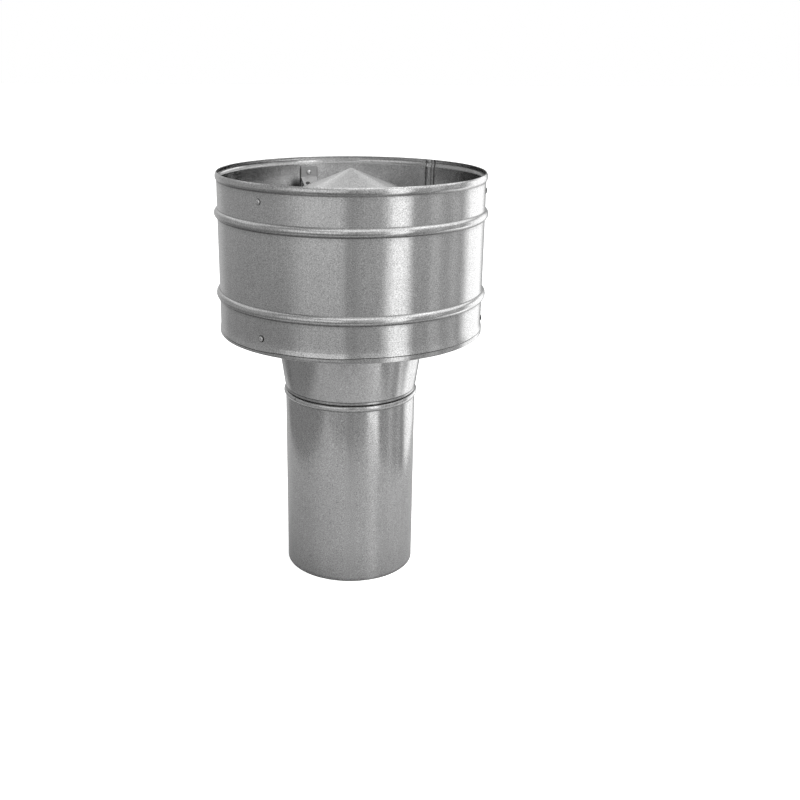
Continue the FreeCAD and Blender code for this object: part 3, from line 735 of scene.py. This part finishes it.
class VENTILATOR_OT_drum(bpy.types.Operator):
    """Makes the drum: an open beaded shell with a half-round rim, a hemmed foot and a lock seam."""

    bl_idname = "ventilator.drum"
    bl_label = "Drum"

    def execute(self, context):
        s = context.scene.ventilator_sizes
        bottom, top, radius = DRUM_LOW.z, DRUM_HIGH.z, s.drum_radius
        half, flare_top = s.bead_height / 2, bottom + s.flare_top
        middles = (bottom + s.bead_inset, top - s.bead_inset)
        shapes = [flare_line(radius, flare_top - s.flare_height, flare_top, s.flare_rise)]
        shapes += [bead_arc(radius, z - half, z + half, s.bead_rise) for z in middles]
        shapes.append(bead_arc(radius, top - s.rim_height, top, s.rim_rise))
        line = soften(shaped_line(radius, bottom, top, shapes), s.crease)
        hemmed = hemmed_line(radius, bottom, s.gauge, s.hem_height, s.hem_gap, line)
        outer = needed_points(hemmed, 5 * MM, math.radians(11))
        half_turn = 0.5 * s.seam_width / radius
        folds = [s.drum_seam - half_turn, s.drum_seam + half_turn]
        rows = [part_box(node) for node in ("drum_upper_rivets", "drum_lower_rivets")]
        rivets = [(b, (low.z + high.z) / 2) for b in strip_bearings(s) for low, high in rows]

        def shift(b, z):
            total = waves(b, z, s.dent) - pressed_line(b, folds[0], radius, 0.4 * MM)
            for bearing, height in rivets:
                side = wrapped(b - bearing) * radius
                total = total - s.dimple * bell(np.hypot(side, z - height), 4.5 * MM)
            return total

        # Edges of the upper brackets' tabs, where shade is painted on the wall beside the strip.
        tab_half = 8.9 * MM / radius
        tab_edges = [(b + side * tab_half, side) for b in strip_bearings(s) for side in (-1, 1)]
        details = [(b, 1.6 * MM / radius, 11) for b in folds]
        details += [(b, 1.2 * MM / radius, 7) for b, _ in tab_edges]
        bearings = even_bearings(DRUM_STEPS, details)
        section = sheet_section(outer, s.gauge)
        wall = turned_surface(section, bearings, shift)
        points = wall[0]
        band_line = needed_points(line[line[:, 1] > bottom + s.gauge], 3 * MM, math.radians(12))
        seam = seam_band(band_line, radius, s.drum_seam, s.seam_width, s.seam_fold, s.gauge)
        # Painted shade over the hem and under the rim; then over each bead, and close and wide
        # under it.
        creases = [
            (radius + 0.2 * MM, bottom + s.hem_height + 0.2 * MM, 0.3 * MM, 0.3),
            (radius + 0.3 * MM, top - s.rim_height + 0.4 * MM, 0.8 * MM, 0.55),
        ]
        for z in middles:
            creases += [
                (radius, z + half, 0.35 * MM, 0.5),
                (radius + 0.2 * MM, z - half + 0.1 * MM, 0.6 * MM, 0.75),
                (radius + 1.6 * MM, z - half + 0.9 * MM, 1.0 * MM, 0.5),
            ]
        # On the inner face, above the hem, painted shade: dark lines along the seam and the tabs,
        # and a painted shadow of each bracket's leg on the wall beside it.
        beside, tab_top, tab_foot, leg_shadow_depth = 0.3 * MM / radius, 9 * MM, 40 * MM, 29 * MM
        dark_folds = [
            (b, 0.8 * MM, 1.0, bottom, top) for b in (folds[0] - beside, folds[1] + beside)
        ]
        for b, side in tab_edges:
            strength = 0.9 if side > 0 else 0.6
            dark_folds.append((b, 0.6 * MM, strength, top - tab_foot, top - tab_top))
        leg_shadows = [
            (b + math.radians(6.6), top - leg_shadow_depth, 6.5 * MM, 8.0 * MM, 0.95)
            for b in strip_bearings(s)
        ]
        inner = np.tile(np.arange(len(section)) > len(outer), len(bearings))
        inner &= points[:, 2] > bottom + 2 * s.hem_height
        inner_shade = np.maximum(
            fold_shade(points, radius, dark_folds), spot_shade(points, radius, leg_shadows)
        )
        wall_shade = np.maximum(crease_shade(points, creases), inner * inner_shade)
        points[:, 2] -= self.sag(s, points)
        surfaces = joined((wall, wall_shade), seam)
        make_piece("drum_sheet", ["drum_shell"], "galvanised_sheet", *surfaces)
        return {"FINISHED"}

    def sag(self, s, points):
        """How much lower the hem's raw edge lies, by bearing: it is folded narrower at the left.

        Two smooth steps, in degrees from the front, and gone at the back. The shift grows from
        nothing at the drum's edge to the hem's height and is gone again above the flare.
        """
        turned = np.degrees(distance_round(points, 1.0, math.radians(-90)))
        near, far, back = (6, -6), (-28, -42), (-150, -100)
        steps = 0.48 * smooth_step(turned, *near) + 0.52 * smooth_step(turned, *far)
        height = points[:, 2] - DRUM_LOW.z
        rising = np.clip(height / s.hem_height, 0, 1)
        falling = np.clip((16 * MM - height) / (9 * MM), 0, 1)
        return s.hem_sag * steps * smooth_step(turned, *back) * rising * falling


class VENTILATOR_OT_cap(bpy.types.Operator):
    """Makes the rain cap: a low cone with a turned-down lip and one radial seam."""

    bl_idname = "ventilator.cap"
    bl_label = "Rain cap"

    def execute(self, context):
        s = context.scene.ventilator_sizes
        peak, slope = CAP_HIGH.z, math.tan(s.cap_fall)
        edge = s.cap_radius
        edge_height = peak - slope * edge
        drop = s.gauge / math.cos(s.cap_fall)
        # The line runs past the axis, so that the point is softened too, and is cut there.
        past = 6 * MM
        upper = soften(np.array([
            [edge, edge_height - s.cap_lip], [edge, edge_height], [0.0, peak],
            [-past, peak - slope * past],
        ]), 0.45 * MM)
        upper = needed_points(upper[upper[:, 0] > 0], 3 * MM, math.radians(9))
        upper[-1, 0] = 0.0
        under = np.array([
            [0.0, peak - drop], [edge - s.gauge, edge_height - drop + slope * s.gauge],
            [edge - s.gauge, edge_height - s.cap_lip],
        ])
        under = read_line(np.linspace(0, lengths_along(under)[-1], 40), lengths_along(under), under)
        section = np.concatenate([under, upper])

        wall = turned_surface(section, even_bearings(ROUND_STEPS), closed=False)
        points = wall[0]
        radius = np.hypot(points[:, 0], points[:, 1])
        bearing = np.arctan2(points[:, 1], points[:, 0])
        # The waves fade out at the point and at the edge.
        fade = np.clip(radius / edge, 0, 1) ** 2 * np.clip((edge - radius) / (6 * MM), 0, 1)
        points[:, 2] += waves(bearing, radius, s.dent * 0.5) * fade
        # The radial seam carries a faint painted shade.
        surfaces = joined((wall, 0.0), (self.radial_seam(s, peak, slope), 0.05))
        make_piece("cap_sheet", ["rain_cap"], "galvanised_sheet", *surfaces)
        return {"FINISHED"}

    def radial_seam(self, s, peak, slope):
        """Folded strip up the cone: a flat ring with rounded edges carried along the slope."""
        rise, below, half = 1.0 * MM, -0.3 * MM, s.seam_width / 2
        radius = np.linspace(12 * MM, s.cap_radius - 5 * MM, 40)[:, None]
        corner = arc(half - rise / 2, rise / 2, rise / 2, 0, math.pi / 2, 5)
        ring = np.concatenate([[[half, below]], corner, (corner * [-1, 1])[::-1], [[-half, below]]])
        height = peak - slope * radius + ring[None, :, 1]
        out, side = radius + 0 * height, ring[None, :, 0] + 0 * height
        return closed_tube(turned_to(s.back_seam, out, side, height)[:, ::-1])


def dress_strip(name, node, slot="bracket_strip"):
    """A merged copy of a strip's CAD node with worn edges, as a new piece in its place."""
    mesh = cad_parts[node].data.copy()
    mesh.name = name
    work = bmesh.new()
    work.from_mesh(mesh)
    flat = math.radians(0.5)
    bmesh.ops.remove_doubles(work, verts=work.verts, dist=0.01 * MM)
    bmesh.ops.dissolve_limit(work, angle_limit=flat, verts=work.verts, edges=work.edges)
    work.to_mesh(mesh)
    work.free()
    mesh.materials.clear()
    mesh.materials.append(finish_of(slot))
    mesh.shade_smooth()
    mesh.set_sharp_from_angle(angle=math.radians(35))
    mesh.attributes.new("painted_shade", "FLOAT", "POINT")
    piece = add_object(name, mesh)
    worn = piece.modifiers.new("worn_edges", "BEVEL")
    worn.width = 0.22 * MM
    worn.segments = 2
    worn.limit_method = "ANGLE"
    worn.angle_limit = math.radians(40)
    worn.harden_normals = True
    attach(piece, BODY)
    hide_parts(node)


class VENTILATOR_OT_upper_brackets(bpy.types.Operator):
    """Makes the three strips that carry the rain cap from the drum's wall."""

    bl_idname = "ventilator.upper_brackets"
    bl_label = "Upper brackets"

    def execute(self, context):
        for index in range(1, STRIPS + 1):
            dress_strip(f"cap_strap_{index}", f"upper_bracket_{index}")
        return {"FINISHED"}


class VENTILATOR_OT_lower_brackets(bpy.types.Operator):
    """Makes the three strips that carry the drum from the diffuser."""

    bl_idname = "ventilator.lower_brackets"
    bl_label = "Lower brackets"

    def execute(self, context):
        for index in range(1, STRIPS + 1):
            dress_strip(f"drum_strap_{index}", f"lower_bracket_{index}")
        return {"FINISHED"}


# Rivets: node, radius and height of the seat in mm, lean in degrees, head and tail levels in mm
RIVETS = (
    ("drum_upper_rivets", 122.25, 370.2, 90.0, 0.12, -1.85),
    ("drum_lower_rivets", 122.25, 252.7, 90.0, 0.12, -1.85),
    ("cap_rivets", 90.1, 351.763, 21.8, 1.2, -0.65),
    ("diffuser_rivets", 75.49, 267.5, 98.5, 1.2, -0.65),
)


def rivet_section(head, tail):
    """Half section of a blind rivet from its closed end to its head, in millimetres.

    The head is a low dome that falls steeply at its edge: its height is the rise times
    1 - (radius share) ** 3.4. A thin ring round it carries painted shade, a small recess with the
    broken stem's end is in its middle, and the closed end is a rounder dome.
    """
    head_radius, head_rise, tail_radius, tail_rise = 2.9, 1.3, 2.5, 1.4
    shank, hole, ring, under = 1.6, 0.75, head_radius + 0.35, head - 0.06
    turned = np.linspace(0, 1, 12) * math.pi / 2
    closed_end = np.stack([tail_radius * np.sin(turned), tail - tail_rise * np.cos(turned)], axis=1)
    across = hole + (head_radius - hole) * np.cos(np.linspace(0, math.pi / 2, 14))
    dome = np.stack([across, head + head_rise * (1 - (across / head_radius) ** 3.4)], axis=1)
    crown = dome[-1, 1]
    recess = np.array([
        [hole - 0.1, crown - 0.04], [hole - 0.16, crown - 0.22], [0.45, crown - 0.24],
        [0.4, crown - 0.1], [0.2, crown - 0.05], [0.0, crown - 0.04],
    ])
    body = np.array([[shank, tail], [shank, under], [ring, under]])
    return np.concatenate([closed_end, body, dome, recess])


def set_rivet(section, radius, height, lean, bearing):
    """A section turned about its own axis, leant over, moved to its seat and turned to its bearing.

    The rivet's own axis runs at lean from upright, away from the ventilator's axis.
    """
    points, faces = turned_surface(section * MM, even_bearings(RIVET_STEPS), closed=False)
    x, y, z = points.T
    sine, cosine = math.sin(math.radians(lean)), math.cos(math.radians(lean))
    out, up = radius * MM + x * cosine + z * sine, height * MM - x * sine + z * cosine
    return turned_to(bearing, out, y, up), faces


class VENTILATOR_OT_rivets(bpy.types.Operator):
    """Makes the four rows of blind rivets, each row as one piece."""

    bl_idname = "ventilator.rivets"
    bl_label = "Rivets"

    def execute(self, context):
        s = context.scene.ventilator_sizes
        for node, radius, height, lean, head, tail in RIVETS:
            section = rivet_section(head, tail)
            # Painted shade on the head's steep flank, on the ring round it and in its recess.
            painted_head_shade = np.clip((section[:, 0] - 2.0) / 0.5, 0, 1) * (section[:, 1] > head - 0.1)
            painted_head_shade[-5:-2] = 0.6
            around = np.concatenate([np.tile(painted_head_shade[1:-1], RIVET_STEPS), [0.0, 0.1]])
            row = [(set_rivet(section, radius, height, lean, b), around) for b in strip_bearings(s)]
            make_piece(
                node.replace("_rivets", "_blind_rivets"), [node], "rivet_metal", *joined(*row)
            )
        return {"FINISHED"}


# Stage

# Camera: lens and sensor in mm, place in metres, tilt from straight down and roll in degrees
CAMERA = {
    "lens": 46.476, "sensor": 36.0, "place": (0.0, -0.95305, 0.4957), "tilt": 71.92, "roll": 0.26,
    "shift": (0.0620, -0.025),
}

# Soft panels round the studio, as angles in degrees. Azimuths turn from the camera's side (-Y)
# to the right (+X) and elevations are over the horizon: left and right edge, how softly each
# fades, lower and upper edge, how softly both fade, and how much light the panel adds.
PANELS = (
    ("front left wall", -36, -6, 22, 2, -16, 14, 10, 0.22),
    ("front left upper wall", -50, -6, 20, 3, 0, 28, 12, 0.30),
    ("front right wall", 12, 26, 10, 8, -30, 10, 12, 0.09),
    ("front upper right wall", 14, 30, 8, 8, 0, 24, 10, 0.14),
    ("front top lamp", -5, 30, 12, 12, 32, 52, 10, 0.32),
    ("front overhead lamp", -40, 110, 20, 20, 54, 80, 12, 0.75),
    ("key strip", 37, 46, 11, 9, -34, 34, 14, 1.16),
    ("right lamp", 73, 77, 5, 7, -36, 24, 14, 0.19),
    ("right rear lamp", 95, 98, 6, 6, -36, 24, 14, 0.15),
    ("right wall", 60, 108, 6, 10, -40, 24, 14, 0.09),
    ("right upper lamp", 55, 145, 20, 20, 32, 54, 10, 0.65),
    ("back right bank", 121.5, 143.5, 16, 18, -34, 10, 14, 1.26),
    ("low right card", 99, 124, 7, 14, -60, -30, 5, 0.80),
    ("low front card", -6, 26, 4, 8, -34, -21, 2.5, 0.10),
    ("low front right card", 60, 94, 6, 7, -40, -21, 2.5, 0.11),
    ("low left card", -120, -50, 8, 10, -42, -21, 2.5, 0.07),
    ("back left wall", 184, 210, 10, 20, -30, 26, 14, 0.15),
    ("back upper wall", 150, 210, 20, 20, 16, 36, 10, 0.14),
    ("top back softbox", 110, 250, 30, 30, 30, 84, 10, 0.38),
)
ROOM_LEVEL = 0.42
# The room's own light fades from the first elevation to the second, by the share that follows.
ROOM_FADE = (-10.0, -24.0, 0.5)


def faded(tree, value, start, end, from_share, to_share):
    """A smooth change from one share to another as a value goes from start to end."""
    if start > end:
        start, end, from_share, to_share = end, start, to_share, from_share
    return spread(tree, value, start, end, from_share, to_share, "SMOOTHSTEP")


def soft_panel(tree, azimuth, elevation, left, right, soft_left, soft_right, low, high, soft):
    """1 inside a panel's edges, fading to 0 past each; the azimuth is wrapped about the middle."""
    middle = (left + right) / 2
    turned = maths(tree, "WRAP", {0: azimuth}, {1: middle - 180, 2: middle + 180})
    return multiplied(
        tree,
        faded(tree, turned, left - soft_left, left, 0.0, 1.0),
        faded(tree, turned, right, right + soft_right, 1.0, 0.0),
        faded(tree, elevation, low - soft, low, 0.0, 1.0),
        faded(tree, elevation, high, high + soft, 1.0, 0.0),
    )


def make_studio_light():
    """The world: white to the camera, and to the object a pale room with soft panels round it.

    The light from a direction is the room's level plus each panel's light times its fade.
    """
    world, tree = empty_tree(bpy.data.worlds.new("studio_light"))
    bpy.context.scene.world = world
    way = add_node(tree, "TexCoord").outputs["Generated"]
    x, y, z = add_node(tree, "SeparateXYZ", {}, {0: way}).outputs
    back = maths(tree, "MULTIPLY", {0: y}, {1: -1.0})
    azimuth = maths(tree, "DEGREES", {0: maths(tree, "ARCTAN2", {0: x, 1: back})})
    elevation = maths(tree, "DEGREES", {0: maths(tree, "ARCSINE", {0: z})})
    start, end, share = ROOM_FADE
    total = faded(tree, elevation, start, end, ROOM_LEVEL, ROOM_LEVEL * share)
    for _, *edges, light in PANELS:
        panel = soft_panel(tree, azimuth, elevation, *edges)
        total = maths(tree, "MULTIPLY_ADD", {0: panel, 2: total}, {1: light})
    seen = add_node(tree, "LightPath").outputs["Is Camera Ray"]
    level = add_node(
        tree, "Mix", {"data_type": "FLOAT", 3: 1.0}, {0: seen, 2: total}
    ).outputs[0]
    background = add_node(
        tree, "Background", {"Color": (1.0, 1.0, 1.0, 1.0)}, {"Strength": level}
    )
    show(tree, background, "World")


def flat_sheet(name, low, high, height, material):
    """A level rectangle between two corners."""
    mesh = bpy.data.meshes.new(name)
    (left, front), (right, rear) = low, high
    corners = [(left, front), (right, front), (right, rear), (left, rear)]
    mesh.from_pydata([(x, y, height) for x, y in corners], [], [(0, 1, 2, 3)])
    mesh.materials.append(material)
    sheet = add_object(name, mesh)
    return sheet


def make_floor(colour):
    """A pale floor, lifted to white for the camera alone, so that it keeps the object's shadow."""
    material, tree = empty_tree(bpy.data.materials.new("pale_studio_floor"))
    matt = add_node(tree, "BsdfDiffuse", {"Color": colour})
    seen = add_node(tree, "LightPath").outputs["Is Camera Ray"]
    lift = maths(tree, "MULTIPLY", {0: seen}, {1: 0.62})
    glow = add_node(tree, "Emission", {}, {"Strength": lift})
    both = add_node(tree, "AddShader", {}, {0: matt.outputs[0], 1: glow.outputs[0]})
    show(tree, both)
    floor = flat_sheet("floor", (-12, -12), (12, 12), 0.0, material)
    floor.visible_glossy = False


def make_table_sheet(colour):
    """A satin white sheet on the floor round the object, which only the metal's reflections see."""
    material, tree = empty_tree(bpy.data.materials.new("white_table_card"))
    surface = add_node(tree, "BsdfPrincipled", {"Base Color": colour, "Roughness": 0.07})
    show(tree, surface)
    card = flat_sheet("table_card", (-0.33, -0.40), (0.29, 0.45), 0.3 * MM, material)
    card.visible_camera = False
    card.visible_diffuse = False
    card.visible_shadow = False


def make_softbox(name, size, power, place, lean):
    """A rectangular lamp that shines down, leant about X and Y; the metal doesn't reflect it."""
    lamp = bpy.data.lights.new(name, "AREA")
    lamp.shape, lamp.size, lamp.size_y = "RECTANGLE", *size
    lamp.energy = power
    softbox = add_object(name, lamp)
    softbox.location = place
    softbox.rotation_euler = (math.radians(lean[0]), math.radians(lean[1]), 0)
    softbox.visible_glossy = False


class VENTILATOR_OT_stage(bpy.types.Operator):
    """Makes the pale floor, the studio light and the camera."""

    bl_idname = "ventilator.stage"
    bl_label = "Floor, light and camera"

    def execute(self, context):
        colours = context.scene.ventilator_finish
        make_floor(colours.floor)
        make_table_sheet(colours.card)
        make_studio_light()
        make_softbox("overhead_softbox", (1.4, 1.0), 22.0, (0.0, -0.25, 1.9), (-7, 0))
        # A small lamp close over the floor on the right, which lights the card there.
        make_softbox("low_side_softbox", (0.3, 0.3), 2.2, (0.62, 0.02, 0.34), (0, 45))
        data = bpy.data.cameras.new("product_camera")
        data.lens, data.sensor_width = CAMERA["lens"], CAMERA["sensor"]
        data.shift_x, data.shift_y = CAMERA["shift"]
        camera = add_object("product_camera", data)
        tilt = Matrix.Rotation(math.radians(CAMERA["tilt"]), 4, "X")
        roll = Matrix.Rotation(math.radians(CAMERA["roll"]), 4, "Z")
        camera.matrix_world = Matrix.Translation(CAMERA["place"]) @ tilt @ roll
        context.scene.camera = camera
        context.scene.view_settings.view_transform = "Standard"
        return {"FINISHED"}


class VENTILATOR_PT_panel(bpy.types.Panel):
    """Lists the ventilator's pieces and their sizes."""

    bl_idname = "VENTILATOR_PT_panel"
    bl_label = "Roof ventilator"
    bl_space_type = "VIEW_3D"
    bl_region_type = "UI"
    bl_category = "Ventilator"

    def draw(self, context):
        for operator in OPERATORS:
            self.layout.operator(operator.bl_idname)
        for group in (context.scene.ventilator_sizes, context.scene.ventilator_finish):
            for name in group.bl_rna.properties.keys():
                if name not in ("rna_type", "name"):
                    self.layout.prop(group, name)


OPERATORS = (
    VENTILATOR_OT_stage,
    VENTILATOR_OT_pipe,
    VENTILATOR_OT_diffuser,
    VENTILATOR_OT_drum,
    VENTILATOR_OT_cap,
    VENTILATOR_OT_upper_brackets,
    VENTILATOR_OT_lower_brackets,
    VENTILATOR_OT_rivets,
)
CLASSES = (VentilatorSizes, VentilatorFinish, *OPERATORS, VENTILATOR_PT_panel)


def register():
    for cls in CLASSES:
        bpy.utils.register_class(cls)
    bpy.types.Scene.ventilator_sizes = bpy.props.PointerProperty(type=VentilatorSizes)
    bpy.types.Scene.ventilator_finish = bpy.props.PointerProperty(type=VentilatorFinish)


def unregister():
    del bpy.types.Scene.ventilator_finish
    del bpy.types.Scene.ventilator_sizes
    for cls in reversed(CLASSES):
        bpy.utils.unregister_class(cls)


def main():
    register()
    for operator in OPERATORS:
        group, name = operator.bl_idname.split(".")
        getattr(getattr(bpy.ops, group), name)()


if __name__ == "__main__":
    main()
